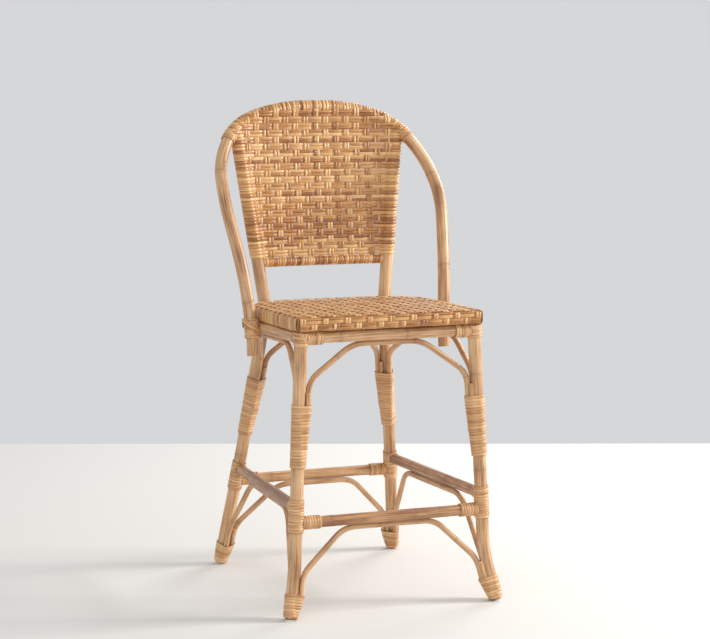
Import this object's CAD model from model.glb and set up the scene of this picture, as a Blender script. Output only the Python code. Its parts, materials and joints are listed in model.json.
"""Looks of a rattan counter stool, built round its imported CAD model."""

import json
import logging
import math
import random
from dataclasses import dataclass, field
from enum import Enum
from typing import Any, Callable, Iterable, Optional, Sequence

import bpy
import numpy as np
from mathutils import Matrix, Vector
from mathutils.bvhtree import BVHTree

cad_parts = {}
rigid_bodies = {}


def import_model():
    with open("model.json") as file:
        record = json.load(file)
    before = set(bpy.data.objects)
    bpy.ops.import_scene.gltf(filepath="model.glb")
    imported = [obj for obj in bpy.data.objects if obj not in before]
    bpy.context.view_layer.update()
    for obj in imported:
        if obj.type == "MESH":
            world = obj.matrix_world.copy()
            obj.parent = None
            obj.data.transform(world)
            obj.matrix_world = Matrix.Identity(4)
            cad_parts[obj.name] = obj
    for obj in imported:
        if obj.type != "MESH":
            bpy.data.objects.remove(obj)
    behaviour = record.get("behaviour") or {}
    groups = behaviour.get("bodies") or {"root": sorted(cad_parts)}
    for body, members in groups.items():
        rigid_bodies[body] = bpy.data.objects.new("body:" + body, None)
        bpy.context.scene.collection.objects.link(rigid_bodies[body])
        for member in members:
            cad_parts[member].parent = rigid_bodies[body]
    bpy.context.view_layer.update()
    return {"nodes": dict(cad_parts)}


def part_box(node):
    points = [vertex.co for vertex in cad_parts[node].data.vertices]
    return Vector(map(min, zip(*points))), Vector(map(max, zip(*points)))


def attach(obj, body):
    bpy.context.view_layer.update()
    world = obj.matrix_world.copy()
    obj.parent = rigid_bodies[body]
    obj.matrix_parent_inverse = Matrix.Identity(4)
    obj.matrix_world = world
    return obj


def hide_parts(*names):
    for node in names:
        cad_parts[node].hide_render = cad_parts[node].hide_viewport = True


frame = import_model()

logging.basicConfig(level=logging.INFO, format="%(name)s: %(message)s")
log = logging.getLogger("stool")

SEED = 11
MM = 0.001
UP = np.array((0.0, 0.0, 1.0))
ACROSS = np.array((1.0, 0.0, 0.0))
BACKWARD = np.array((0.0, 1.0, 0.0))
# Places of footrests and braces, and the axis that each one spans.
SPANS = (("front", 0), ("back", 0), ("left", 1), ("right", 1))
# Where the two strands of a woven pair lie, in strands from the pair's middle.
PAIR = (-0.5, 0.5)
# Room that each strand of a pair takes up, in its own widths.
PAIR_SPREAD = 1.02


class Side(Enum):
    """The two mirrored halves of the stool."""

    LEFT = "left"
    RIGHT = "right"

    @property
    def sign(self) -> float:
        """-1 on the left, 1 on the right."""
        return -1.0 if self is Side.LEFT else 1.0


class Corner(Enum):
    """Front legs and rear poles."""

    FRONT = "front"
    REAR = "rear"


class Grain(Enum):
    """Where a cane finish finds its direction."""

    ALONG_CANE = "along"
    WOUND_UPRIGHT = "wound upright"
    WOUND_LEVEL = "wound level"
    UPRIGHT = "upright"

    @property
    def turns(self) -> tuple[float, float, float]:
        """Fineness of the tint along each axis, where the cane carries none of its own.

        Returns:
            Three factors.
        """
        if self is Grain.WOUND_UPRIGHT:
            return (30.0, 30.0, 420.0)
        if self is Grain.WOUND_LEVEL:
            return (420.0, 420.0, 30.0)
        return (60.0, 60.0, 5.0)


# ---- Shader graph -------------------------------------------------------------------


class Signal:
    """A number socket that takes part in Python arithmetic."""

    def __init__(self, graph: "Graph", socket: bpy.types.NodeSocket) -> None:
        """Wraps a socket.

        Args:
            graph: the graph that the socket belongs to.
            socket: an output socket.
        """
        self.graph = graph
        self.socket = socket

    def _math(self, operation: str, first: Any, second: Any = 0.0) -> "Signal":
        """Adds a Math node.

        Args:
            operation: the Math node's operation.
            first: value or signal.
            second: value or signal.

        Returns:
            The node's result.
        """
        node = self.graph.node("ShaderNodeMath", {"operation": operation}, {0: first, 1: second})
        return Signal(self.graph, node.outputs[0])

    def __add__(self, other: Any) -> "Signal":
        """Sum."""
        return self._math("ADD", self, other)

    __radd__ = __add__

    def __sub__(self, other: Any) -> "Signal":
        """Difference."""
        return self._math("SUBTRACT", self, other)

    def __rsub__(self, other: Any) -> "Signal":
        """Difference the other way round."""
        return self._math("SUBTRACT", other, self)

    def __mul__(self, other: Any) -> "Signal":
        """Product."""
        return self._math("MULTIPLY", self, other)

    def clamp(self) -> "Signal":
        """Kept between 0 and 1."""
        return self._math("MINIMUM", self._math("MAXIMUM", self, 0.0), 1.0)


class Graph:
    """A material's nodes, ended by a Principled shader."""

    def __init__(self, name: str) -> None:
        """Starts an empty material.

        Args:
            name: the material's name.
        """
        self.material = bpy.data.materials.new(name)
        self.material.use_nodes = True
        self.tree = self.material.node_tree
        self.tree.nodes.clear()
        self.shader = self.tree.nodes.new("ShaderNodeBsdfPrincipled")
        output = self.tree.nodes.new("ShaderNodeOutputMaterial")
        self.tree.links.new(self.shader.outputs[0], output.inputs["Surface"])

    def feed(self, socket: bpy.types.NodeSocket, value: Any) -> None:
        """Sets a socket or links to it.

        Args:
            socket: the input socket.
            value: a number, a tuple, a signal or an output socket.
        """
        if isinstance(value, Signal):
            value = value.socket
        if isinstance(value, bpy.types.NodeSocket):
            self.tree.links.new(value, socket)
            return
        socket.default_value = value

    def node(self, kind: str, settings: dict[str, Any], inputs: dict[Any, Any]) -> bpy.types.Node:
        """Adds any node.

        Args:
            kind: the node's type.
            settings: its properties, and the stops of a ramp as position and colour pairs.
            inputs: its input sockets' values or links, by name or number.

        Returns:
            The node.
        """
        node = self.tree.nodes.new(kind)
        for key, value in settings.items():
            if key == "stops":
                self._stops(node, value)
                continue
            setattr(node, key, value)
        for key, value in inputs.items():
            self.feed(node.inputs[key], value)
        return node

    def _stops(self, node: bpy.types.Node, stops: Sequence[tuple[float, tuple]]) -> None:
        """Sets a ramp's stops.

        Args:
            node: the ramp node.
            stops: positions and colours, in order.
        """
        elements = node.color_ramp.elements
        while len(elements) < len(stops):
            elements.new(0.5)
        for element, (place, colour) in zip(elements, stops):
            element.position = place
            element.color = (*colour, 1.0)

    def attribute(self, name: str) -> bpy.types.Node:
        """An Attribute node that reads the mesh."""
        return self.node("ShaderNodeAttribute", {"attribute_name": name}, {})

    def stretched(self, vector: Any, scale: tuple[float, float, float]) -> bpy.types.NodeSocket:
        """A vector with each part scaled.

        Args:
            vector: the vector's socket.
            scale: three factors.

        Returns:
            The scaled vector's socket.
        """
        product = self.node("ShaderNodeVectorMath", {"operation": "MULTIPLY"}, {0: vector, 1: scale})
        return product.outputs[0]

    def noise(self, vector: Any, scale: float, detail: float = 2.0, rough: float = 0.5) -> Signal:
        """Noise between 0 and 1.

        Args:
            vector: where it is read.
            scale: how fine it is.
            detail: octaves.
            rough: strength of the finer octaves.

        Returns:
            The noise.
        """
        inputs = {"Vector": vector, "Scale": scale, "Detail": detail, "Roughness": rough}
        return Signal(self, self.node("ShaderNodeTexNoise", {}, inputs).outputs["Fac"])

    def ramp(self, value: Any, stops: Sequence[tuple[float, tuple]]) -> bpy.types.NodeSocket:
        """A colour ramp.

        Args:
            value: where on the ramp.
            stops: positions and colours.

        Returns:
            The colour's socket.
        """
        return self.node("ShaderNodeValToRGB", {"stops": stops}, {"Fac": value}).outputs["Color"]

    def mix(self, factor: Any, first: Any, second: Any) -> bpy.types.NodeSocket:
        """Mixes two colours.

        Args:
            factor: share of the second.
            first: a colour or its socket.
            second: a colour or its socket.

        Returns:
            The colour's socket.
        """
        node = self.node("ShaderNodeMix", {"data_type": "RGBA"}, {})
        self.feed(node.inputs[0], factor)
        self.feed(node.inputs[6], (*first, 1.0) if isinstance(first, tuple) else first)
        self.feed(node.inputs[7], (*second, 1.0) if isinstance(second, tuple) else second)
        return node.outputs[2]

    def bump(self, height: Any, distance: float) -> None:
        """Gives the shader a bump.

        Args:
            height: the height signal.
            distance: metres for a height of one.
        """
        inputs = {"Height": height, "Distance": distance, "Strength": 1.0}
        node = self.node("ShaderNodeBump", {}, inputs)
        self.feed(self.shader.inputs["Normal"], node.outputs[0])


def tone(red: int, green: int, blue: int) -> tuple[float, float, float]:
    """A screen colour as linear light.

    Args:
        red: 0 to 255.
        green: 0 to 255.
        blue: 0 to 255.

    Returns:
        Three linear values.
    """
    parts = [value / 255 for value in (red, green, blue)]
    return tuple(p / 12.92 if p <= 0.04045 else ((p + 0.055) / 1.055) ** 2.4 for p in parts)


# ---- Finishes -----------------------------------------------------------------------


@dataclass(frozen=True)
class CaneFinish:
    """Lacquered rattan: colour streaks along the cane, blotches and dark growth rings."""

    name: str
    pale: tuple[float, float, float]
    middle: tuple[float, float, float]
    deep: tuple[float, float, float]
    streak_fineness: float = 420.0
    streak_length: float = 9.0
    ring_colour: tuple[float, float, float] = tone(128, 84, 52)
    roughness: float = 0.42
    coat: float = 0.25
    relief: float = 0.12 * MM
    grain: Grain = Grain.ALONG_CANE
    streak_share: float = 1.6
    blotch_share: float = 1.1
    thread_share: float = 0.5
    tint_share: float = 0.7
    ruddy: tuple[float, float, float] = tone(172, 122, 92)
    ruddy_share: float = 0.5

    def material(self) -> bpy.types.Material:
        """Builds the material.

        Returns:
            The material.
        """
        graph = Graph(self.name)
        if self.grain is Grain.ALONG_CANE:
            grain = graph.attribute("grain").outputs["Vector"]
            tint = Signal(graph, graph.attribute("tint").outputs["Fac"])
            ring = Signal(graph, graph.attribute("ring").outputs["Fac"])
        else:
            grain = graph.node("ShaderNodeTexCoord", {}, {}).outputs["Object"]
            tint = graph.noise(graph.stretched(grain, self.grain.turns), 1.0, 1.0)
            depth = 0.0 if self.grain is Grain.UPRIGHT else 1.6
            ring = ((0.5 - tint) * depth).clamp()
        fine = self.streak_fineness
        streak = graph.noise(graph.stretched(grain, (fine, fine, self.streak_length)), 1.0, 4.0, 0.62)
        thread = graph.noise(graph.stretched(grain, (fine * 3, fine * 3, self.streak_length * 2)), 1.0, 2.0)
        blotch = graph.noise(graph.stretched(grain, (26.0, 26.0, 11.0)), 1.0, 3.0)
        shade = (streak - 0.5) * self.streak_share + (blotch - 0.5) * self.blotch_share
        shade = shade + (thread - 0.5) * self.thread_share + (tint - 0.5) * self.tint_share
        place = (shade + 0.5).clamp()
        stops = [(0.12, self.deep), (0.48, self.middle), (0.86, self.pale)]
        colour = graph.ramp(place, stops)
        ruddy = (graph.noise(graph.stretched(grain, (60.0, 60.0, 3.5)), 1.0, 2.0) - 0.52) * 2.4
        colour = graph.mix(ruddy.clamp() * self.ruddy_share, colour, self.ruddy)
        colour = graph.mix((ring * (streak * 0.7 + 0.1)).clamp(), colour, self.ring_colour)
        graph.feed(graph.shader.inputs["Base Color"], colour)
        gloss = self.roughness + (streak - 0.5) * 0.22 + ring * 0.12
        graph.feed(graph.shader.inputs["Roughness"], gloss)
        graph.shader.inputs["Coat Weight"].default_value = self.coat
        graph.shader.inputs["Coat Roughness"].default_value = 0.3
        graph.bump(streak * 0.7 + thread * 0.5 - ring * 0.6, self.relief * 3)
        return graph.material


@dataclass(frozen=True)
class TimberFinish:
    """Planed softwood with long grain along one axis."""

    name: str
    pale: tuple[float, float, float] = tone(198, 160, 112)
    dark: tuple[float, float, float] = tone(150, 108, 66)

    def material(self) -> bpy.types.Material:
        """Builds the material.

        Returns:
            The material.
        """
        graph = Graph(self.name)
        place = graph.node("ShaderNodeTexCoord", {}, {}).outputs["Object"]
        wobble = graph.noise(graph.stretched(place, (60.0, 6.0, 60.0)), 1.0, 4.0, 0.6)
        lines = graph.noise(graph.stretched(place, (420.0, 14.0, 420.0)), 1.0, 3.0)
        grain = (wobble * 0.65 + lines * 0.35).clamp()
        colour = graph.ramp(grain, [(0.35, self.dark), (0.62, self.pale)])
        graph.feed(graph.shader.inputs["Base Color"], colour)
        graph.feed(graph.shader.inputs["Roughness"], 0.62 + (lines - 0.5) * 0.2)
        graph.bump(grain, 0.3 * MM)
        return graph.material


@dataclass(frozen=True)
class SolidFinish:
    """Moulded plastic or plated steel, with fine wear."""

    name: str
    colour: tuple[float, float, float]
    worn: tuple[float, float, float]
    metallic: float
    roughness: float
    fineness: float = 260.0

    def material(self) -> bpy.types.Material:
        """Builds the material.

        Returns:
            The material.
        """
        graph = Graph(self.name)
        place = graph.node("ShaderNodeTexCoord", {}, {}).outputs["Object"]
        scuff = graph.noise(place, self.fineness, 5.0, 0.65)
        colour = graph.mix(((scuff - 0.5) * 3.0).clamp(), self.colour, self.worn)
        graph.feed(graph.shader.inputs["Base Color"], colour)
        graph.shader.inputs["Metallic"].default_value = self.metallic
        graph.feed(graph.shader.inputs["Roughness"], self.roughness + (scuff - 0.5) * 0.3)
        graph.bump(scuff, 0.05 * MM)
        return graph.material


@dataclass(frozen=True)
class StudioFinish:
    """Plain matt surface of the studio."""

    name: str
    colour: tuple[float, float, float]
    roughness: float = 0.85

    def material(self) -> bpy.types.Material:
        """Builds the material.

        Returns:
            The material.
        """
        graph = Graph(self.name)
        graph.shader.inputs["Base Color"].default_value = (*self.colour, 1.0)
        graph.shader.inputs["Roughness"].default_value = self.roughness
        return graph.material


class Palette:
    """The stool's finishes, each built once."""

    def __init__(self) -> None:
        """Builds every material."""
        self.pole = CaneFinish(
            "pole_cane", tone(226, 190, 146), tone(198, 152, 106), tone(138, 92, 60)
        ).material()
        self.peel = CaneFinish(
            "wrap_cane", tone(226, 186, 136), tone(206, 157, 106), tone(166, 114, 68), 620.0, 14.0
        ).material()
        self.strand = CaneFinish(
            "weave_cane", tone(232, 190, 130), tone(203, 145, 84), tone(146, 88, 40), 560.0, 16.0,
            tone(120, 70, 34), 0.36, 0.35,
        ).material()
        self.shadow = CaneFinish(
            "cane_under_peel", tone(186, 138, 92), tone(160, 112, 68), tone(122, 80, 46), 90.0, 90.0,
            grain=Grain.WOUND_UPRIGHT,
        ).material()
        self.filler = CaneFinish(
            "filler_cane", tone(222, 184, 138), tone(196, 150, 104), tone(146, 100, 66), grain=Grain.UPRIGHT
        ).material()
        self.bound = CaneFinish(
            "small_binding_cane", tone(226, 186, 136), tone(198, 150, 102), tone(158, 108, 66), 90.0, 90.0,
            grain=Grain.WOUND_LEVEL,
        ).material()
        self.timber = TimberFinish("seat_timber").material()
        self.steel = SolidFinish(
            "screw_steel", tone(176, 174, 168), tone(120, 118, 112), 1.0, 0.38
        ).material()
        self.plastic = SolidFinish(
            "glide_plastic", tone(226, 222, 210), tone(176, 170, 158), 0.0, 0.55
        ).material()
        self.floor = StudioFinish("studio_floor", tone(222, 220, 216)).material()


# ---- Lines in space -----------------------------------------------------------------


def unit(vectors: np.ndarray) -> np.ndarray:
    """Vectors of length one.

    Args:
        vectors: one vector, or one per row.

    Returns:
        The same directions.
    """
    return vectors / np.maximum(np.linalg.norm(vectors, axis=-1, keepdims=True), 1e-12)


class Run:
    """A smooth line through space in even steps, with a direction that stays outward."""

    def __init__(self, points: np.ndarray, facing: np.ndarray, step: float, easing: int = 0) -> None:
        """Makes the line.

        Args:
            points: places it passes, in order.
            facing: a direction that is never along it.
            step: spacing of its own points.
            easing: rounds of smoothing.
        """
        places = np.asarray(points, float)
        gaps = np.linalg.norm(np.diff(places, axis=0), axis=1)
        reach = np.concatenate(([0.0], np.cumsum(gaps)))
        count = max(int(round(reach[-1] / step)), 2) + 1
        even = np.linspace(0.0, reach[-1], count)
        places = np.stack([np.interp(even, reach, places[:, k]) for k in range(3)], axis=1)
        for _ in range(easing):
            places[1:-1] = (places[:-2] + 2 * places[1:-1] + places[2:]) / 4
        self.points = places
        self.facing = facing
        gaps = np.linalg.norm(np.diff(places, axis=0), axis=1)
        self.reach = np.concatenate(([0.0], np.cumsum(gaps)))
        self.heading = unit(np.gradient(places, axis=0))
        self.length = float(self.reach[-1])

    def at(self, reach: np.ndarray) -> tuple[np.ndarray, np.ndarray, np.ndarray]:
        """Place, heading and outward direction at distances along the line.

        Args:
            reach: distances from the start.

        Returns:
            Places, headings and outward directions.
        """
        place = np.stack([np.interp(reach, self.reach, self.points[:, k]) for k in range(3)], axis=1)
        heading = unit(
            np.stack([np.interp(reach, self.reach, self.heading[:, k]) for k in range(3)], axis=1)
        )
        outward = unit(self.facing - heading * (heading @ self.facing)[:, None])
        return place, heading, outward

    def around(self, reach: np.ndarray, angle: np.ndarray) -> tuple[np.ndarray, np.ndarray]:
        """Places on the line, and rays that turn round it.

        Args:
            reach: distances from the start.
            angle: each ray's turn from the outward direction.

        Returns:
            Places and rays.
        """
        place, heading, outward = self.at(reach)
        aside = np.cross(heading, outward)
        return place, np.cos(angle)[:, None] * outward + np.sin(angle)[:, None] * aside

    def span_of(self, corners: np.ndarray) -> tuple[float, float, float]:
        """The stretch beside which a shape lies.

        Args:
            corners: the shape's points.

        Returns:
            Start and end distances, and the shape's usual distance from the line.
        """
        gaps = np.linalg.norm(corners[:, None, :] - self.points[None, :, :], axis=2)
        nearest = self.reach[np.argmin(gaps, axis=1)]
        return float(nearest.min()), float(nearest.max()), float(np.max(np.min(gaps, axis=1)))


class CadShape:
    """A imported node's triangles, cut by planes to find where it runs."""

    def __init__(self, name: str) -> None:
        """Reads the node.

        Args:
            name: the CAD node.
        """
        mesh = frame["nodes"][name].data
        mesh.calc_loop_triangles()
        places = np.empty(len(mesh.vertices) * 3)
        mesh.vertices.foreach_get("co", places)
        corners = np.empty(len(mesh.loop_triangles) * 3, dtype=np.int32)
        mesh.loop_triangles.foreach_get("vertices", corners)
        self.name = name
        self.places = places.reshape(-1, 3)
        self.triangles = corners.reshape(-1, 3)
        self.low, self.high = self.places.min(axis=0), self.places.max(axis=0)

    def outline(
        self, origin: np.ndarray, normal: np.ndarray, toward: Optional[np.ndarray] = None
    ) -> np.ndarray:
        """The pieces of edge where a plane cuts the shape.

        Args:
            origin: a point on the plane.
            normal: the plane's normal.
            toward: keeps only what lies this way from the origin.

        Returns:
            Start and end points, one pair per row.
        """
        corners = self.places[self.triangles]
        depth = (corners - origin) @ normal + 1e-9
        crossed = (depth.min(axis=1) < 0) & (depth.max(axis=1) > 0)
        corners, depth = corners[crossed], depth[crossed]
        found = []
        for first, second in ((0, 1), (1, 2), (2, 0)):
            here, there = depth[:, first], depth[:, second]
            share = here / np.where(here == there, 1.0, here - there)
            point = corners[:, first] + (corners[:, second] - corners[:, first]) * share[:, None]
            point[here * there > 0] = np.nan
            found.append(point)
        points = np.stack(found, axis=1)
        order = np.argsort(np.isnan(points[:, :, 0]), axis=1, kind="stable")[:, :2]
        pairs = np.take_along_axis(points, order[:, :, None], axis=1)
        if toward is not None:
            pairs = pairs[(pairs.mean(axis=1) - origin) @ toward > 0]
        return pairs

    def centre(
        self, origin: np.ndarray, normal: np.ndarray, toward: Optional[np.ndarray] = None
    ) -> np.ndarray:
        """Middle of the outline where a plane cuts the shape.

        Args:
            origin: a point on the plane.
            normal: the plane's normal.
            toward: keeps only what lies this way from the origin.

        Returns:
            The outline's middle.
        """
        pairs = self.outline(origin, normal, toward)
        weight = np.linalg.norm(pairs[:, 1] - pairs[:, 0], axis=1)
        return (pairs.mean(axis=1) * weight[:, None]).sum(axis=0) / weight.sum()

    def along(self, axis: int, count: int, margin: float) -> np.ndarray:
        """Centres of slices along an axis.

        Args:
            axis: 0, 1 or 2.
            count: number of slices.
            margin: from each end.

        Returns:
            The centres, in rising order.
        """
        normal = np.eye(3)[axis]
        stations = np.linspace(self.low[axis] + margin, self.high[axis] - margin, count)
        centres = [self.centre(normal * station, normal) for station in stations]
        return np.array(centres)

    def fan(
        self, pivot: np.ndarray, out: np.ndarray, up: np.ndarray, arc: tuple[float, float], count: int
    ) -> np.ndarray:
        """Centres of slices by half planes that turn round a pivot.

        Args:
            pivot: a point that the shape arches round.
            out: direction at angle zero.
            up: direction at a quarter turn.
            arc: first and last angle in degrees.
            count: number of slices.

        Returns:
            The centres, in order of angle.
        """
        centres = []
        for angle in np.radians(np.linspace(*arc, count)):
            ray = math.cos(angle) * out + math.sin(angle) * up
            normal = -math.sin(angle) * out + math.cos(angle) * up
            centres.append(self.centre(pivot, normal, ray))
        return np.array(centres)

    def tree(self) -> BVHTree:
        """A search tree over the shape."""
        return BVHTree.FromPolygons(
            [tuple(place) for place in self.places], [tuple(t) for t in self.triangles.tolist()]
        )


# ---- Canes as meshes ----------------------------------------------------------------


class Bundle:
    """Many canes gathered into one piece."""

    def __init__(self, name: str, sides: int = 8, squareness: float = 3.0) -> None:
        """Starts an empty piece.

        Args:
            name: the piece's name.
            sides: points round each cane.
            squareness: 2 is round, more is a flat strip with round edges.
        """
        self.name = name
        angles = np.linspace(0, 2 * math.pi, sides, endpoint=False)
        power = 2.0 / squareness
        self.across = np.sign(np.cos(angles)) * np.abs(np.cos(angles)) ** power
        self.tall = np.sign(np.sin(angles)) * np.abs(np.sin(angles)) ** power
        self.sides = sides
        self.places: list[np.ndarray] = []
        self.grain: list[np.ndarray] = []
        self.tint: list[np.ndarray] = []
        self.ring: list[np.ndarray] = []
        self.faces: list[tuple[int, ...]] = []
        self.count = 0
        self.random = random.Random(f"{SEED}{name}")

    def add(
        self,
        points: np.ndarray,
        outward: np.ndarray,
        width: Any,
        height: Any,
        ring: Optional[np.ndarray] = None,
        tint: Optional[float] = None,
        closed: bool = False,
    ) -> None:
        """Adds a cane.

        Args:
            points: its centre line.
            outward: the direction its back faces, one per point.
            width: its width, one value or one per point.
            height: its thickness, one value or one per point.
            ring: growth ring strength per point.
            tint: its shade between 0 and 1, or None for a random one.
            closed: True for a loop.
        """
        total = len(points)
        if closed:
            heading = unit(np.roll(points, -1, axis=0) - np.roll(points, 1, axis=0))
        else:
            heading = unit(np.gradient(points, axis=0))
        outward = unit(outward - heading * np.sum(heading * outward, axis=1)[:, None])
        aside = np.cross(heading, outward)
        half_width = np.broadcast_to(np.asarray(width, float) / 2, (total,))
        half_height = np.broadcast_to(np.asarray(height, float) / 2, (total,))
        reach = np.concatenate(([0.0], np.cumsum(np.linalg.norm(np.diff(points, axis=0), axis=1))))
        shell = (
            points[:, None, :]
            + aside[:, None, :] * (half_width[:, None] * self.across)[:, :, None]
            + outward[:, None, :] * (half_height[:, None] * self.tall)[:, :, None]
        )
        offset = self.random.uniform(0.0, 40.0)
        grain = np.stack(
            [
                half_width[:, None] * self.across[None, :],
                half_height[:, None] * self.tall[None, :],
                np.broadcast_to(reach[:, None] + offset, (total, self.sides)),
            ],
            axis=2,
        )
        grain[:, :, 0] += offset * 0.37
        shade = self.random.uniform(0.0, 1.0) if tint is None else tint
        rings = np.zeros(total) if ring is None else ring
        self.places.append(shell.reshape(-1, 3))
        self.grain.append(grain.reshape(-1, 3))
        self.tint.append(np.full(total * self.sides, shade))
        self.ring.append(np.repeat(rings, self.sides))
        base, sides = self.count, self.sides
        spans = total if closed else total - 1
        for step in range(spans):
            here = base + step * sides
            there = base + ((step + 1) % total) * sides
            for side in range(sides):
                after = (side + 1) % sides
                self.faces.append((here + side, there + side, there + after, here + after))
        if not closed:
            self.faces.append(tuple(base + side for side in range(sides)))
            last = base + (total - 1) * sides
            self.faces.append(tuple(last + side for side in reversed(range(sides))))
        self.count += total * sides

    def finish(self, material: bpy.types.Material, slot: str, *nodes: str) -> None:
        """Makes the piece.

        Args:
            material: its finish.
            slot: the record's slot.
            nodes: the CAD nodes that it stands for.
        """
        mesh = bpy.data.meshes.new(self.name)
        mesh.from_pydata(np.concatenate(self.places).tolist(), [], self.faces)
        fields = (
            ("grain", "FLOAT_VECTOR", "vector", self.grain),
            ("tint", "FLOAT", "value", self.tint),
            ("ring", "FLOAT", "value", self.ring),
        )
        for name, kind, key, values in fields:
            data = np.concatenate(values).astype(np.float32).ravel()
            mesh.attributes.new(name, kind, "POINT").data.foreach_set(key, data)
        piece = bpy.data.objects.new(self.name, mesh)
        bpy.context.scene.collection.objects.link(piece)
        mesh.materials.append(material)
        Workshop.smooth(piece, 50.0)
        Workshop.place(piece, slot, *nodes)


class Workshop:
    """Steps that every piece goes through."""

    @staticmethod
    def clear() -> None:
        """Selects nothing."""
        for other in bpy.context.scene.objects:
            other.select_set(False)

    @staticmethod
    def alone(piece: bpy.types.Object) -> None:
        """Selects only one piece.

        Args:
            piece: the piece.
        """
        Workshop.clear()
        piece.select_set(True)
        bpy.context.view_layer.objects.active = piece

    @staticmethod
    def smooth(piece: bpy.types.Object, angle: float) -> None:
        """Shades a piece smooth up to an angle in degrees."""
        Workshop.alone(piece)
        bpy.ops.object.shade_smooth_by_angle(angle=math.radians(angle))

    @staticmethod
    def place(piece: bpy.types.Object, slot: str, *nodes: str) -> None:
        """Ties a piece to the stool.

        Args:
            piece: the piece.
            slot: the record's slot.
            nodes: the CAD nodes that it stands for.
        """
        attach(piece, "root")
        if nodes:
            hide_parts(*nodes)
        log.info("%s: %d faces", piece.name, len(piece.data.polygons))

    @staticmethod
    def dress(nodes: Iterable[str], material: bpy.types.Material) -> None:
        """Gives carried-over CAD nodes their finish.

        Args:
            nodes: their names.
            material: the finish.
        """
        for name in nodes:
            mesh = frame["nodes"][name].data
            mesh.materials.clear()
            mesh.materials.append(material)


# ---- Poles --------------------------------------------------------------------------


@dataclass
class Pole:
    """A rattan pole that stands for one CAD node."""

    node: str
    run: Run
    radius: float
    end_radius: Optional[float] = None
    ring_spacing: float = 0.24
    ring_swell: float = 0.35 * MM
    sides: int = 28
    tint: float = 0.5
    ring_line: float = 1.3 * MM
    ring_halo: float = 9.0 * MM
    swell_reach: float = 7.0 * MM
    groove: float = 1.6 * MM
    taper_length: float = 50.0 * MM

    def build(self, material: bpy.types.Material) -> None:
        """Sweeps the pole with its growth rings.

        Args:
            material: its finish.
        """
        bundle = Bundle(self.node + "_cane", self.sides, 2.0)
        run = self.run
        place, _, outward = run.at(run.reach)
        rings = np.zeros(len(run.reach))
        swell = np.zeros(len(run.reach))
        station = bundle.random.uniform(0.3, 0.9) * self.ring_spacing
        while station < run.length - 0.01:
            gap = run.reach - station
            rings += np.exp(-((gap / self.ring_line) ** 2)) + 0.3 * np.exp(-((gap / self.ring_halo) ** 2))
            swell += np.exp(-((gap / self.swell_reach) ** 2)) - 1.6 * np.exp(-((gap / self.groove) ** 2))
            station += self.ring_spacing * bundle.random.uniform(0.8, 1.25)
        final = self.radius if self.end_radius is None else self.end_radius
        taper = np.clip((run.length - run.reach) / self.taper_length, 0.0, 1.0)
        width = 2 * (final + (self.radius - final) * taper + self.ring_swell * swell)
        bundle.add(place, outward, width, width, ring=np.clip(rings, 0, 1), tint=self.tint)
        bundle.finish(material, "pole_cane", self.node)


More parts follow.
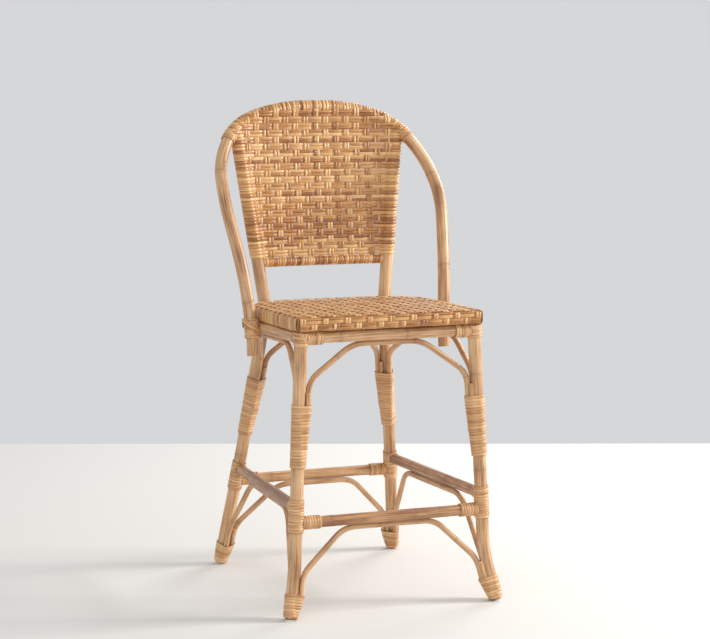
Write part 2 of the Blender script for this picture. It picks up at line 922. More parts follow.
@dataclass
class Skeleton:
    """Centre lines of every pole, read from the CAD."""

    step: float = 2.5 * MM
    hoop_arc: tuple[float, float] = (-43.0, 223.0)
    ring_arc: tuple[float, float] = (4.0, 176.0)
    brace_arc: tuple[float, float] = (6.0, 174.0)
    pivot_drop: float = 20.0 * MM
    cut_margin: float = 20.0 * MM
    rail_margin: float = 12.0 * MM
    rail_overrun: float = 16.0 * MM
    coped_margin: float = 30.0 * MM
    coped_reach: float = 26.0 * MM
    hoop_foot: float = 1.5 * MM
    legs: dict[tuple[Corner, Side], Run] = field(default_factory=dict)

    def __post_init__(self) -> None:
        """Reads every line."""
        for side in Side:
            name = side.value
            self.legs[Corner.FRONT, side] = self._upright(f"front_leg_{name}", 60)
            self.legs[Corner.REAR, side] = self._upright(f"rear_pole_{name}", 110)
        hoop = CadShape("back_hoop")
        pivot = np.array((0.0, 0.0, (hoop.low[2] + hoop.high[2]) / 2 - self.pivot_drop))
        self.hoop = self._line(hoop.fan(pivot, ACROSS, UP, self.hoop_arc, 170), BACKWARD, 3)
        self.hoop = self._stretched_to(self.hoop, hoop.low[2] + self.hoop_foot)
        apron = CadShape("apron_front_rail")
        self.apron_front = self._line(self._ends(apron, 0), UP, 0)
        pivot = np.array((0.0, self.apron_front.points[0][1], 0.0))
        ring = CadShape("apron_bent_rail")
        self.apron_ring = self._line(ring.fan(pivot, ACROSS, BACKWARD, self.ring_arc, 110), UP, 3)
        rail = CadShape("back_lower_rail").along(0, 30, self.rail_margin)
        first = rail[0] + unit(rail[0] - rail[1]) * self.rail_overrun
        last = rail[-1] + unit(rail[-1] - rail[-2]) * self.rail_overrun
        self.lower_rail = self._line(np.vstack((first, rail, last)), UP, 1)
        self.rests: dict[str, Run] = {}
        for place, axis in SPANS:
            shape = CadShape(f"footrest_{place}")
            self.rests[shape.name] = self._line(self._ends(shape, axis), UP, 0)
        self.braces: dict[str, Run] = {}
        for level in ("upper", "lower"):
            for place, axis in SPANS:
                name = f"{level}_brace_{place}"
                self.braces[name] = self._arch(name, axis)

    def _line(self, points: np.ndarray, facing: np.ndarray, easing: int) -> Run:
        """A run with the skeleton's own step."""
        return Run(points, facing, self.step, easing)

    def _ends(self, shape: CadShape, axis: int) -> np.ndarray:
        """Two centres of a straight pole, pushed out to its ends.

        Args:
            shape: the pole.
            axis: 0, 1 or 2, the one that it spans.

        Returns:
            The ends of its centre line.
        """
        pair = shape.along(axis, 2, self.coped_margin)
        ray = unit(pair[1] - pair[0])
        return np.array((pair[0] - ray * self.coped_reach, pair[1] + ray * self.coped_reach))

    def _upright(self, name: str, count: int) -> Run:
        """Centre line of a standing pole, from its top to its foot.

        Args:
            name: the CAD node.
            count: number of slices.

        Returns:
            The line.
        """
        centres = CadShape(name).along(2, count, self.cut_margin)
        first, last = centres[1] - centres[0], centres[-1] - centres[-2]
        low = centres[0] - first / first[2] * self.cut_margin
        high = centres[-1] + last / last[2] * (self.cut_margin - 1 * MM)
        line = np.vstack((low, centres, high))[::-1]
        return Run(line, -BACKWARD, self.step, 6)

    def _stretched_to(self, run: Run, height: float) -> Run:
        """A run with both ends carried down to a height.

        Args:
            run: the line.
            height: where its ends go.

        Returns:
            The longer line.
        """
        start, after = run.points[0], run.points[4]
        end, before = run.points[-1], run.points[-5]
        first = start + (start - after) * (start[2] - height) / (after - start)[2]
        last = end + (end - before) * (end[2] - height) / (before - end)[2]
        return Run(np.vstack((first, run.points, last)), run.facing, self.step)

    def _arch(self, name: str, axis: int) -> Run:
        """Centre line of an arched brace that spans along an axis.

        Args:
            name: the CAD node.
            axis: 0, 1 or 2, the one that it spans.

        Returns:
            The line.
        """
        shape = CadShape(name)
        middle = (shape.low + shape.high) / 2
        pivot = np.array((middle[0], middle[1], shape.low[2]))
        out = np.eye(3)[axis]
        facing = BACKWARD if axis == 0 else ACROSS
        return self._line(shape.fan(pivot, out, UP, self.brace_arc, 90), facing, 4)


@dataclass
class Frame:
    """Poles, rails and brace canes."""

    skeleton: Skeleton
    leg_radius: float = 13.5 * MM
    foot_radius: float = 11.0 * MM
    hoop_radius: float = 13.0 * MM
    apron_radius: float = 12.0 * MM
    rest_radius: float = 11.5 * MM
    rail_radius: float = 8.0 * MM
    brace_radius: float = 6.0 * MM
    rest_tints: dict[str, float] = field(
        default_factory=lambda: {
            "footrest_front": 0.12, "footrest_back": 0.4, "footrest_left": 0.0, "footrest_right": 0.15,
        }
    )

    def build(self, palette: Palette) -> None:
        """Builds every pole.

        Args:
            palette: the finishes.
        """
        lines = self.skeleton
        poles = []
        for (corner, side), run in lines.legs.items():
            stem = "front_leg" if corner is Corner.FRONT else "rear_pole"
            poles.append(Pole(f"{stem}_{side.value}", run, self.leg_radius, self.foot_radius))
        poles += [
            Pole("back_hoop", lines.hoop, self.hoop_radius),
            Pole("apron_front_rail", lines.apron_front, self.apron_radius, ring_spacing=0.17),
            Pole("apron_bent_rail", lines.apron_ring, self.apron_radius),
            Pole("back_lower_rail", lines.lower_rail, self.rail_radius),
        ]
        for name, run in lines.rests.items():
            poles.append(Pole(name, run, self.rest_radius, ring_spacing=0.2, tint=self.rest_tints[name]))
        for name, run in lines.braces.items():
            poles.append(
                Pole(name, run, self.brace_radius, ring_spacing=0.15, ring_swell=0.25 * MM, sides=18)
            )
        for pole in poles:
            pole.build(palette.pole)


# ---- Bindings -----------------------------------------------------------------------


@dataclass
class Winding:
    """Peel wound round a CAD sleeve, which stays underneath as the shade between turns."""

    node: str
    run: Run
    pitch: float = 5.6 * MM
    thickness: float = 2.2 * MM
    steps: int = 44
    lift: float = 0.75 * MM
    floor_gap: float = 2.5 * MM
    wander: float = 0.3 * MM
    play: tuple[float, float] = (-0.1 * MM, 0.15 * MM)
    fill: float = 0.97
    tints: tuple[float, float] = (0.22, 0.8)
    ray_start: float = 20.0 * MM
    broken_below: float = 0.35

    def build(self, material: bpy.types.Material) -> None:
        """Winds the strip.

        Args:
            material: its finish.
        """
        shape = CadShape(self.node)
        start, end, usual = self.run.span_of(shape.places)
        if shape.low[2] < self.pitch:
            end -= self.floor_gap
        tree = shape.tree()
        turns = max(int(round((end - start) / self.pitch)), 2)
        pitch = (end - start) / turns
        bundle = Bundle(self.node + "_peel", 10, 2.5)
        for turn in range(turns):
            angle = np.linspace(0.0, 2 * math.pi, self.steps, endpoint=False)
            lean = bundle.random.uniform(-1.0, 1.0) * self.wander
            middle = start + pitch * (turn + 0.5)
            reach = middle + lean * np.cos(angle + bundle.random.uniform(0, 6.28))
            place, ray = self.run.around(np.clip(reach, start, end), angle)
            radius = self._radii(tree, place, ray, usual) + bundle.random.uniform(*self.play)
            points = place + ray * (radius + self.lift - self.thickness / 2)[:, None]
            shade = bundle.random.uniform(*self.tints)
            bundle.add(points, ray, pitch * self.fill, self.thickness, tint=shade, closed=True)
        bundle.finish(material, "wrap_cane")

    def _radii(self, tree: BVHTree, place: np.ndarray, ray: np.ndarray, usual: float) -> np.ndarray:
        """Distance from the line to the sleeve's outside, filled where a rail breaks it.

        Args:
            tree: search tree over the sleeve.
            place: centres.
            ray: outward directions.
            usual: the furthest that the sleeve lies from the line.

        Returns:
            One distance for each ray.
        """
        found = np.full(len(place), np.nan)
        for index, (centre, out) in enumerate(zip(place, ray)):
            start = usual + self.ray_start
            hit = tree.ray_cast(Vector(centre + out * start), Vector(-out), start)
            if hit[0] is not None:
                found[index] = float(np.dot(np.array(hit[0]) - centre, out))
        good = found > self.broken_below * usual
        if not good.any():
            return np.full(len(place), usual)
        spots = np.arange(len(place))
        return np.interp(spots, spots[good], found[good], period=len(place))


@dataclass
class CrossLashing:
    """Peel crossed over a joint, in two tilted sets of loops."""

    name: str
    run: Run
    middle: float
    radius: float
    sweep: float = 15 * MM
    strips: int = 3
    width: float = 4.6 * MM
    thickness: float = 1.5 * MM
    spacing: float = 1.02
    low_layer: float = 0.6
    layer_step: float = 0.5

    def build(self, material: bpy.types.Material) -> None:
        """Winds the loops.

        Args:
            material: its finish.
        """
        bundle = Bundle(self.name, 10, 3.2)
        angle = np.linspace(0.0, 2 * math.pi, 60, endpoint=False)
        for tilt in (-1.0, 1.0):
            for strip in range(self.strips):
                shift = (strip - (self.strips - 1) / 2) * self.width * self.spacing
                reach = self.middle + shift + tilt * self.sweep * np.sin(angle)
                place, ray = self.run.around(reach, angle)
                layer = self.radius + self.thickness * (self.low_layer + self.layer_step * (tilt > 0))
                bundle.add(place + ray * layer, ray, self.width, self.thickness, closed=True)
        bundle.finish(material, "wrap_cane")


@dataclass
class Bindings:
    """Every wound wrap, band and lashing."""

    skeleton: Skeleton
    wrap_pitch: float = 6.3 * MM
    band_pitch: float = 5.8 * MM
    leg_top_pitch: float = 6.4 * MM
    apron_pitch: float = 6.2 * MM
    shoulder_pitch: float = 4.4 * MM

    def build(self, palette: Palette) -> None:
        """Builds every binding over its CAD sleeve.

        Args:
            palette: the finishes.
        """
        lines = self.skeleton
        sleeves: list[tuple[str, Run, float]] = []
        for side in Side:
            name = side.value
            front, rear = lines.legs[Corner.FRONT, side], lines.legs[Corner.REAR, side]
            sleeves += [
                (f"upper_wrap_front_{name}", front, self.wrap_pitch),
                (f"upper_wrap_rear_{name}", rear, self.wrap_pitch),
                (f"foot_wrap_front_{name}", front, self.wrap_pitch),
                (f"foot_wrap_rear_{name}", rear, self.wrap_pitch),
                (f"leg_top_binding_{name}", front, self.leg_top_pitch),
                (f"apron_end_binding_{name}", lines.apron_front, self.apron_pitch),
                (f"joint_binding_front_{name}", front, self.band_pitch),
                (f"joint_binding_rear_{name}", rear, self.band_pitch),
                (f"rail_binding_front_{name}", lines.rests["footrest_front"], self.band_pitch),
                (f"rail_binding_rear_{name}", lines.rests["footrest_back"], self.band_pitch),
                (f"hoop_end_lashing_{name}", lines.hoop, self.band_pitch),
                (f"post_lashing_{name}", rear, self.band_pitch),
                (f"hoop_shoulder_binding_{name}", lines.hoop, self.shoulder_pitch),
            ]
        for node, run, pitch in sleeves:
            Winding(node, run, pitch).build(palette.peel)
        Workshop.dress([node for node, _, _ in sleeves], palette.shadow)
        Workshop.dress(["side_rail_bindings", "apron_side_bindings"], palette.bound)
        for side in Side:
            start, end, usual = lines.hoop.span_of(CadShape(f"hoop_end_lashing_{side.value}").places)
            CrossLashing(
                f"hoop_cross_lashing_{side.value}", lines.hoop, (start + end) / 2, usual
            ).build(palette.peel)


# ---- Weaving ------------------------------------------------------------------------


def wave(phase: np.ndarray, sharpness: float = 1.7) -> np.ndarray:
    """Over and under, as 1 and -1 with soft changes.

    Args:
        phase: half turns; whole numbers are the crossings' edges.
        sharpness: how quickly it changes.

    Returns:
        The offset.
    """
    swing = np.sin(math.pi * phase) * sharpness
    return swing / np.sqrt(1 + swing**2) * math.sqrt(1 + 1 / sharpness**2)


@dataclass
class WovenBack:
    """Woven panel between the posts, the hoop and the lower rail."""

    skeleton: Skeleton
    row_pitch: float = 14.5 * MM
    column_pitch: float = 23.5 * MM
    row_strand: float = 7.0 * MM
    column_strand: float = 5.6 * MM
    thickness: float = 2.1 * MM
    swing: float = 1.35 * MM
    post_radius: float = 13.5 * MM
    hoop_radius: float = 13.0 * MM
    rail_radius: float = 8.0 * MM
    step: float = 3.0 * MM
    over_hoop: float = 15.9 * MM
    rim: float = 3.0 * MM
    tuck: float = 1.6 * MM
    first_row: float = 3.0 * MM
    post_top_gap: float = 4.0 * MM
    post_hold: float = 12.0 * MM
    post_fade: float = 14.0 * MM
    column_gap: float = 0.9 * MM
    column_step: float = 2.0 * MM
    side_gap: float = 6.0 * MM
    flare: float = 0.12
    post_leave: float = 1.7
    post_loop: tuple[float, float, float] = (12.0, 320.0, 14.0)
    crown_start: float = 8.0 * MM
    crown_pitch: float = 5.6 * MM
    rail_inset: float = 4.0 * MM
    rail_pitch: float = 6.1 * MM
    easing: float = 85.0 * MM

    def __post_init__(self) -> None:
        """Reads the posts, the hoop and the rail."""
        right = self.skeleton.legs[Corner.REAR, Side.RIGHT].points[::-1]
        above = right[right[:, 2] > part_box("seat_weave")[1][2]]
        self.post_z, self.post_x, self.post_y = above[:, 2], above[:, 0], above[:, 1]
        rail = self.skeleton.lower_rail.points
        self.bow = rail[len(rail) // 2][1] - rail[0][1]
        self.bottom = rail[len(rail) // 2][2]
        self.base = self.bottom + self.rail_radius + self.first_row
        hoop = self.skeleton.hoop.points
        self.crown = hoop[:, 2].max()
        half = hoop[: len(hoop) // 2]
        high = half[half[:, 2] > self.post_z[-1] - 0.02]
        high = high[np.argsort(high[:, 2])]
        self.hoop_z, self.hoop_x, self.hoop_y = high[:, 2], np.abs(high[:, 0]), high[:, 1]
        self.lean = (self.post_y[-1] - self.post_y[0]) / (self.post_z[-1] - self.post_z[0])

    def post(self, height: np.ndarray) -> tuple[np.ndarray, np.ndarray]:
        """Side and depth of the right post at a height, carried on above its top.

        Args:
            height: heights.

        Returns:
            Side and depth at each height.
        """
        x = np.interp(height, self.post_z, self.post_x)
        y = np.interp(height, self.post_z, self.post_y)
        over = np.maximum(height - self.post_z[-1], 0.0)
        return x + over * self.flare, y + over * self.lean

    def sheet(self, x: np.ndarray, z: np.ndarray) -> np.ndarray:
        """Points on the middle of the panel.

        Args:
            x: sideways positions.
            z: heights.

        Returns:
            The points.
        """
        post_x, post_y = self.post(z)
        y = post_y + self.bow * (1 - (x / post_x) ** 2)
        return np.stack((x, y, z), axis=1)

    def drape(self, x: np.ndarray, z: np.ndarray) -> tuple[np.ndarray, np.ndarray, np.ndarray]:
        """The woven face, which leaves the panel to lie on the front of the hoop.

        Args:
            x: sideways positions.
            z: heights.

        Returns:
            Points, outward directions, and how far inside the hoop's line each lies.
        """
        points = self.sheet(x, z)
        aside = np.abs(x)[:, None] - self.hoop_x[None, :]
        rise = z[:, None] - self.hoop_z[None, :]
        gap = np.hypot(aside, rise)
        near = gap.argmin(axis=1)
        spots = np.arange(len(x))
        away = gap[spots, near]
        line = np.interp(np.abs(x), self.hoop_x[::-1], self.hoop_z[::-1])
        inside = np.where(z <= line, away, -away)
        radius = self.over_hoop
        share = np.clip((self.easing - inside) / (self.easing - radius), 0.0, 1.0)
        stand = self.climb(inside, radius, self.easing)
        points[:, 1] += share * (self.hoop_y[near] - points[:, 1]) - stand
        side = np.where(x < 0, -1.0, 1.0) * aside[spots, near]
        outward = np.stack((side, -np.maximum(stand, 0.2 * radius), rise[spots, near]), axis=1)
        outward[inside > 0.2 * radius] = (0.0, -1.0, 0.0)
        return points, unit(outward), inside

    def build(self, palette: Palette) -> None:
        """Builds rows, columns and the wound edges.

        Args:
            palette: the finishes.
        """
        self._rows(palette.strand)
        self._columns(palette.strand)
        self._edge(palette.strand)

    def _rows(self, material: bpy.types.Material) -> None:
        """Pairs of strands from post to post, wound round them.

        Args:
            material: the strands' finish.
        """
        bundle = Bundle("back_rows")
        front = np.array((0.0, -1.0, 0.0))
        count = round((self.crown - self.base) / self.row_pitch)
        for row in range(count):
            for strand in PAIR:
                height = self.base + self.row_pitch * (row + 0.5)
                height += strand * self.row_strand * PAIR_SPREAD
                self._row(bundle, row, height, front)
        bundle.finish(material, "weave_cane", "back_weave")

    def _row(self, bundle: Bundle, row: int, height: float, front: np.ndarray) -> None:
        """One strand of a row.

        Args:
            bundle: the piece that it joins.
            row: the row's number.
            height: its height.
            front: the direction that the panel faces.
        """
        beside_post = height < self.post_z[-1] - self.post_top_gap
        level = np.array((height,))
        post_x, post_y = (float(value[0]) for value in self.post(level))
        edge = post_x if beside_post else self.hoop_x.max()
        x = np.linspace(-edge, edge, int(2 * edge / self.step))
        z = np.full(len(x), height)
        points, outward, inside = self.drape(x, z)
        over = wave(x / self.column_pitch + row + 0.5)
        if not beside_post:
            kept = inside > self.rim - self.over_hoop
            free = np.clip((inside - self.rim + self.over_hoop) / (2 * self.rim), 0.0, 1.0)
            offset = over * self.swing * free - self.tuck * (1 - free)
            points = points + outward * offset[:, None]
            bundle.add(points[kept], outward[kept], self.row_strand, self.thickness)
            return
        round_post = self.post_radius + self.thickness / 2
        away = np.minimum(x + edge, edge - x)
        share = np.clip((away - self.post_hold) / self.post_fade, 0.0, 1.0)[:, None]
        stand = self.climb(away, round_post, self.post_leave * round_post)
        onto_post = self.sheet(x, z) + front * stand[:, None]
        points = share * points + (1 - share) * onto_post
        points = points + front * (over * self.swing)[:, None] * share
        outward = np.tile(front, (len(x), 1))
        angle = np.radians(np.arange(*self.post_loop))
        loops = []
        for sign in (-1.0, 1.0):
            ray = np.stack((sign * np.sin(angle), -np.cos(angle), np.zeros(len(angle))), axis=1)
            centre = np.array((sign * post_x, post_y, height))
            loops.append((centre + ray * round_post, ray))
        points = np.vstack((loops[0][0][::-1], points, loops[1][0]))
        outward = np.vstack((loops[0][1][::-1], outward, loops[1][1]))
        bundle.add(points, outward, self.row_strand, self.thickness)

    def climb(self, away: np.ndarray, radius: float, leave: float) -> np.ndarray:
        """How far a strand stands off the panel as it runs onto a pole.

        Args:
            away: distances from the pole's middle.
            radius: of the circle that the strand lies on.
            leave: distance at which it leaves the panel.

        Returns:
            The stand-off, along a line that meets the circle smoothly.
        """
        touch = radius * radius / leave
        top = math.sqrt(radius**2 - touch**2)
        on_post = np.sqrt(np.maximum(radius**2 - away**2, 0.0))
        return np.where(away < touch, on_post, top * np.clip((leave - away) / (leave - touch), 0, 1))

    def _columns(self, material: bpy.types.Material) -> None:
        """Pairs of strands from the lower rail up to the hoop.

        Args:
            material: the strands' finish.
        """
        bundle = Bundle("back_columns")
        reach = int(self.post_x.max() / self.column_pitch)
        for column in range(-reach, reach + 1):
            for strand in PAIR:
                x = column * self.column_pitch + strand * (self.column_strand + self.column_gap)
                z = np.arange(self.bottom, self.crown + self.over_hoop, self.column_step)
                z = z[np.abs(x) < self.post(z)[0] - self.side_gap]
                points, outward, inside = self.drape(np.full(len(z), x), z)
                kept = inside > 0.5 * MM - self.over_hoop
                if kept.sum() < 8:
                    continue
                rows = (z - self.base) / self.row_pitch
                over = -wave(rows + column)
                onto = np.clip((inside + 0.2 * self.over_hoop) / (0.6 * self.over_hoop), 0.0, 1.0)
                offset = over * self.swing * onto - 0.5 * MM * (1 - onto)
                points = points + outward * offset[:, None]
                bundle.add(points[kept], outward[kept], self.column_strand, self.thickness)
        bundle.finish(material, "weave_cane")

    def _edge(self, material: bpy.types.Material) -> None:
        """Strands wound round the hoop's crown and the lower rail.

        Args:
            material: the strands' finish.
        """
        bundle = Bundle("back_edge")
        hoop = self.skeleton.hoop
        top = hoop.reach[hoop.points[:, 2] > self.post_z[-1] - self.crown_start]
        ends = (float(top.min()), float(top.max()))
        self._wind(bundle, hoop, ends, self.hoop_radius, self.crown_pitch)
        rail = self.skeleton.lower_rail
        ends = (self.rail_inset, rail.length - self.rail_inset)
        self._wind(bundle, rail, ends, self.rail_radius, self.rail_pitch)
        bundle.finish(material, "weave_cane")

    def _wind(
        self, bundle: Bundle, run: Run, ends: tuple[float, float], radius: float, pitch: float
    ) -> None:
        """Closely wound loops.

        Args:
            bundle: the piece that they join.
            run: the pole's line.
            ends: first and last distance along it.
            radius: the pole's radius.
            pitch: distance from loop to loop.
        """
        start, end = ends
        turns = int((end - start) / pitch)
        angle = np.linspace(0.0, 2 * math.pi, 30, endpoint=False)
        for turn in range(turns):
            middle = start + (turn + 0.5) * (end - start) / turns
            lean = bundle.random.uniform(0.6, 1.8) * MM
            place, ray = run.around(middle + lean * np.cos(angle), angle)
            lift = radius + self.thickness / 2 + bundle.random.uniform(-0.1, 0.3) * MM
            bundle.add(place + ray * lift, ray, pitch, self.thickness, closed=True)


@dataclass
class WovenSeat:
    """Woven seat over its timber frame."""

    row_pitch: float = 15.0 * MM
    column_pitch: float = 24.0 * MM
    row_strand: float = 7.2 * MM
    column_strand: float = 5.9 * MM
    thickness: float = 1.9 * MM
    swing: float = 1.3 * MM
    sink: float = 0.5 * MM
    turn_under: float = 26.0 * MM
    step: float = 3.0 * MM
    probe_inset: float = 30.0 * MM
    shortest_weft: float = 60.0 * MM
    bend_depth: float = 170.0 * MM
    rear_arc: tuple[float, float] = (22.0, 158.0)
    edge_gap: float = 5.0 * MM
    warp_gap: float = 0.5 * MM
    band_width: float = 0.94
    band_drop: float = 0.92
    band_spread: float = 0.96

    def __post_init__(self) -> None:
        """Reads the seat's outline and rake."""
        self.shape = CadShape("seat_weave")
        low, high = self.shape.low, self.shape.high
        self.front, self.rear = low[1], high[1]
        self.half = high[0]
        tree = self.shape.tree()
        spots = (self.front + self.probe_inset, self.rear - self.probe_inset)
        probes = [tree.ray_cast(Vector((0.0, y, 1.0)), Vector((0, 0, -1)))[0] for y in spots]
        self.slope = (probes[1].z - probes[0].z) / (probes[1].y - probes[0].y)
        self.top_front = probes[0].z - self.slope * self.probe_inset
        self.depth = self.top_front - (low[2] - self.slope * (self.rear - self.front))

    def top(self, y: float | np.ndarray) -> float | np.ndarray:
        """Height of the seat's top at a depth."""
        return self.top_front + self.slope * (y - self.front)

    def half_width(self, y: float) -> float:
        """Half width of the seat at a depth."""
        pairs = self.shape.outline(BACKWARD * y, BACKWARD)
        return float(pairs[:, :, 0].max()) if len(pairs) else 0.0

    def rear_edge(self, x: float) -> float:
        """Depth of the rear edge at a distance across."""
        pairs = self.shape.outline(ACROSS * x, ACROSS)
        return float(pairs[:, :, 1].max())

    def loop(
        self, start: float, end: float, high: Callable[[float], float]
    ) -> tuple[np.ndarray, np.ndarray]:
        """Side view of a strand that goes up one edge, across the top and down the other.

        Args:
            start: coordinate of the first edge.
            end: coordinate of the last edge.
            high: height of the top at a coordinate.

        Returns:
            Coordinate and height pairs, and their outward directions.
        """
        first, last = high(start) - self.sink, high(end) - self.sink
        under = self.depth - 2 * self.sink
        knots = np.array([
            (start + self.turn_under, 0.0, first - under),
            (start, 0.0, first - under),
            (start, 0.0, first),
            (end, 0.0, last),
            (end, 0.0, last - under),
            (end - self.turn_under, 0.0, last - under),
        ])
        run = Run(knots, BACKWARD, self.step, 5)
        outward = np.stack((-run.heading[:, 2], np.zeros(len(run.reach)), run.heading[:, 0]), axis=1)
        return run.points[:, (0, 2)], outward[:, (0, 2)]

    def build(self, palette: Palette) -> None:
        """Builds the strands.

        Args:
            palette: the finishes.
        """
        self._wefts(palette.strand)
        self._warps(palette.strand)
        self._bands(palette.strand)

    def _wefts(self, material: bpy.types.Material) -> None:
        """Pairs of strands from side to side.

        Args:
            material: the strands' finish.
        """
        bundle = Bundle("seat_wefts")
        count = int((self.rear - self.front) / self.row_pitch)
        for row in range(count):
            for strand in PAIR:
                y = self.front + self.row_pitch * (row + 0.5) + strand * self.row_strand * PAIR_SPREAD
                edge = self.half_width(y) - self.sink
                if edge < self.shortest_weft:
                    continue
                height = float(self.top(y))
                flat, normal = self.loop(-edge, edge, lambda x: height)
                over = wave(flat[:, 0] / self.column_pitch + row + 0.5)
                calm = np.clip((normal[:, 1] - 0.2) / 0.6, 0, 1)
                lift = over * self.swing * calm + 0.6 * self.swing * (1 - calm)
                points = np.stack((flat[:, 0], np.full(len(flat), y), flat[:, 1]), axis=1)
                outward = np.stack((normal[:, 0], np.zeros(len(flat)), normal[:, 1]), axis=1)
                bundle.add(points + outward * lift[:, None], outward, self.row_strand, self.thickness)
        bundle.finish(material, "weave_cane", "seat_weave")

    def _warps(self, material: bpy.types.Material) -> None:
        """Pairs of strands from front to back.

        Args:
            material: the strands' finish.
        """
        bundle = Bundle("seat_warps")
        reach = int((self.half - 6 * MM) / self.column_pitch)
        for column in range(-reach, reach + 1):
            for strand in PAIR:
                x = column * self.column_pitch + strand * (self.column_strand + self.warp_gap)
                rear = self.rear_edge(x) - self.sink
                front = self.front + self.sink
                flat, normal = self.loop(front, rear, self.top)
                down = np.maximum(self.top(flat[:, 0]) - flat[:, 1] - self.sink, 0.0)
                travel = flat[:, 0] - self.front + np.where(flat[:, 0] > 0, down, -down)
                over = -wave(travel / self.row_pitch + column)
                lift = np.where(down < self.depth * 0.8, over * self.swing, 0.0)
                points = np.stack((np.full(len(flat), x), flat[:, 0], flat[:, 1]), axis=1)
                outward = np.stack((np.zeros(len(flat)), normal[:, 0], normal[:, 1]), axis=1)
                bundle.add(points + outward * lift[:, None], outward, self.column_strand, self.thickness)
        bundle.finish(material, "weave_cane")

    def _bands(self, material: bpy.types.Material) -> None:
        """Strands woven across the front and rear faces.

        Args:
            material: the strands' finish.
        """
        bundle = Bundle("seat_bands")
        for row in (-1, -2):
            for strand in PAIR:
                drop = strand * self.row_strand * self.band_spread
                drop -= self.row_pitch * (row + 0.5) * self.band_drop
                x = np.arange(-self.half + self.edge_gap, self.half - self.edge_gap, self.step)
                front = np.full(len(x), self.front + self.sink)
                points = np.stack((x, front, self.top(front) - drop), axis=1)
                outward = np.tile((0.0, -1.0, 0.0), (len(x), 1))
                over = wave(x / self.column_pitch + row + 0.5)
                points = points + outward * (over * self.swing)[:, None]
                bundle.add(points, outward, self.row_strand * self.band_width, self.thickness)
                self._rear_band(bundle, row, drop)
        bundle.finish(material, "weave_cane")

    def _rear_band(self, bundle: Bundle, row: int, drop: float) -> None:
        """A strand round the rear edge, from side to side.

        Args:
            bundle: the piece that it joins.
            row: its row below the top.
            drop: its depth below the top.
        """
        pivot = np.array((0.0, self.rear - self.bend_depth))
        tree = self.shape.tree()
        points = []
        for angle in np.radians(np.linspace(*self.rear_arc, 150)):
            ray = np.array((math.cos(angle), math.sin(angle), 0.0))
            level = float(self.top(pivot[1])) - self.depth / 2
            start = Vector((pivot[0] + ray[0] * 0.5, pivot[1] + ray[1] * 0.5, level))
            hit = tree.ray_cast(start, Vector(-ray))[0]
            points.append((hit.x, hit.y, float(self.top(hit.y)) - drop))
        run = Run(np.array(points), UP, self.step, 4)
        outward = unit(np.cross(run.heading, UP))
        over = wave(run.points[:, 0] / self.column_pitch + row + 0.5)
        shifted = run.points + outward * (over * self.swing - self.sink)[:, None]
        bundle.add(shifted, outward, self.row_strand * self.band_width, self.thickness)


# ---- Small parts and studio ---------------------------------------------------------


@dataclass
class Glides:
    """Moulded floor glides with a rounded rim and a sunk middle."""

    rim: float = 0.8 * MM
    seat: float = 2.2 * MM
    height: float = 3.4 * MM
    middle_height: float = 1.9 * MM
    dish: float = 1.0 * MM
    upward: float = 0.9

    def build(self, palette: Palette) -> None:
        """Shapes one glide and copies it to every foot.

        Args:
            palette: the finishes.
        """
        shape = CadShape("floor_glides")
        discs = shape.places[shape.places[:, 2] < 1e-5]
        for side in Side:
            for end in (-1.0, 1.0):
                mine = discs[(discs[:, 0] * side.sign > 0) & (discs[:, 1] * end > 0)]
                middle = (mine.min(axis=0) + mine.max(axis=0)) / 2
                radius = (mine[:, 0].max() - mine[:, 0].min()) / 2
                place = "front" if end < 0 else "rear"
                self._glide(f"glide_{place}_{side.value}", middle, radius, palette.plastic)
        Workshop.dress(["floor_glides"], palette.plastic)

    def _glide(self, name: str, middle: np.ndarray, radius: float, material: bpy.types.Material) -> None:
        """One glide's raised rim.

        Args:
            name: the piece's name.
            middle: the centre of its foot.
            radius: its radius.
            material: its finish.
        """
        Workshop.clear()
        place = (middle[0], middle[1], self.middle_height)
        bpy.ops.mesh.primitive_cylinder_add(vertices=48, radius=radius, depth=self.height, location=place)
        piece = bpy.context.object
        piece.name = name
        bpy.ops.object.mode_set(mode="EDIT")
        bpy.ops.mesh.select_mode(type="FACE")
        bpy.ops.mesh.select_all(action="DESELECT")
        bpy.ops.object.mode_set(mode="OBJECT")
        for face in piece.data.polygons:
            face.select = face.normal.z > self.upward
        bpy.ops.object.mode_set(mode="EDIT")
        bpy.ops.mesh.inset(thickness=self.seat, depth=-self.dish)
        bpy.ops.object.mode_set(mode="OBJECT")
        bevel = piece.modifiers.new("rim", "BEVEL")
        bevel.width, bevel.segments = self.rim, 3
        bpy.ops.object.modifier_apply(modifier=bevel.name)
        bpy.ops.object.transform_apply(location=True, rotation=True, scale=True)
        piece.data.materials.append(material)
        Workshop.smooth(piece, 40.0)
        Workshop.place(piece, "glide_plastic")


@dataclass
class Hidden:
    """CAD nodes that stay and only get their finish."""

    canes: Sequence[str] = ("upper_filler_canes", "lower_filler_canes")
    timber: Sequence[str] = ("seat_frame", "seat_slats")
    steel: Sequence[str] = ("footrest_screws", "apron_screws", "seat_screws", "brace_pins")

    def build(self, palette: Palette) -> None:
        """Dresses the nodes.

        Args:
            palette: the finishes.
        """
        Workshop.dress(self.canes, palette.filler)
        Workshop.dress(self.timber, palette.timber)
        Workshop.dress(self.steel, palette.steel)


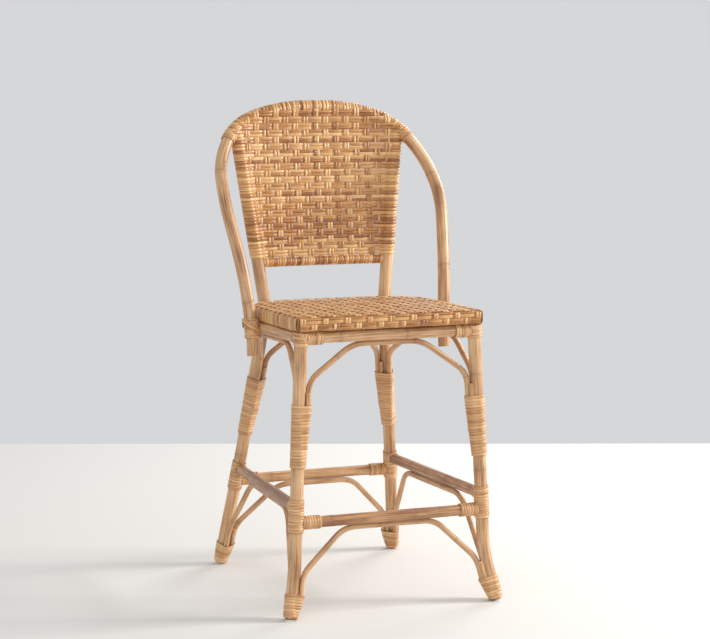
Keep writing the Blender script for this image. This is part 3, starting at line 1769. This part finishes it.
@dataclass
class Studio:
    """Floor, lights and camera."""

    azimuth: float = -21.096
    elevation: float = 6.853
    distance: float = 4.5075
    lens: float = 107.73
    target: tuple[float, float, float] = (0.0, -0.036, 0.5756)
    floor_half: float = 1.68
    floor_reach: float = 6.0
    surroundings: float = 0.77

    def build(self, palette: Palette) -> None:
        """Sets the studio up.

        Args:
            palette: the finishes.
        """
        self._floor(palette.floor)
        self._world()
        self._light("key", (3.4, -0.9, 2.0), 1.1, 140.0, (1.0, 0.98, 0.95))
        self._light("fill", (-1.6, -3.8, 1.3), 2.2, 30.0, (0.95, 0.98, 1.0))
        self._light("rim", (2.4, 1.9, 1.9), 1.4, 40.0, (1.0, 0.99, 0.97))
        self._camera()

    def _floor(self, material: bpy.types.Material) -> None:
        """Pale floor, turned to the camera.

        Args:
            material: its finish.
        """
        Workshop.clear()
        bpy.ops.mesh.primitive_plane_add(size=2.0, location=(0.0, 0.0, 0.0))
        floor = bpy.context.object
        floor.name = "studio_floor"
        turn = math.radians(self.azimuth)
        reach = self.floor_half
        for vertex in floor.data.vertices:
            x = vertex.co.x * self.floor_reach
            y = reach if vertex.co.y > 0 else -self.floor_reach
            vertex.co = (
                x * math.cos(turn) - y * math.sin(turn),
                x * math.sin(turn) + y * math.cos(turn),
                0.0,
            )
        floor.data.materials.append(material)

    def _world(self) -> None:
        """Even pale surroundings."""
        world = bpy.data.worlds.new("studio")
        bpy.context.scene.world = world
        world.use_nodes = True
        back = world.node_tree.nodes["Background"]
        back.inputs["Color"].default_value = (*tone(240, 241, 243), 1.0)
        back.inputs["Strength"].default_value = self.surroundings

    def _light(self, name: str, place: tuple, size: float, power: float, colour: tuple) -> None:
        """One soft light, aimed at the stool.

        Args:
            name: its name.
            place: where it hangs.
            size: its width.
            power: watts.
            colour: its colour.
        """
        data = bpy.data.lights.new(name, "AREA")
        data.size, data.energy, data.color = size, power, colour
        light = bpy.data.objects.new(name, data)
        light.location = place
        aim = Vector(self.target) - Vector(place)
        light.rotation_euler = aim.to_track_quat("-Z", "Y").to_euler()
        bpy.context.scene.collection.objects.link(light)

    def _camera(self) -> None:
        """The camera, level and without shift."""
        turn, tilt = math.radians(self.azimuth), math.radians(self.elevation)
        back = Vector(
            (math.sin(turn) * math.cos(tilt), -math.cos(turn) * math.cos(tilt), math.sin(tilt))
        )
        data = bpy.data.cameras.new("camera")
        data.lens, data.sensor_width = self.lens, 36.0
        camera = bpy.data.objects.new("camera", data)
        camera.location = Vector(self.target) + back * self.distance
        camera.rotation_euler = (-back).to_track_quat("-Z", "Y").to_euler()
        bpy.context.scene.collection.objects.link(camera)
        bpy.context.scene.camera = camera
        bpy.context.scene.view_settings.view_transform = "Standard"


def main() -> None:
    """Builds the stool's looks in order."""
    palette = Palette()
    skeleton = Skeleton()
    Studio().build(palette)
    Frame(skeleton).build(palette)
    Bindings(skeleton).build(palette)
    WovenBack(skeleton).build(palette)
    WovenSeat().build(palette)
    Glides().build(palette)
    Hidden().build(palette)


if __name__ == "__main__":
    main()
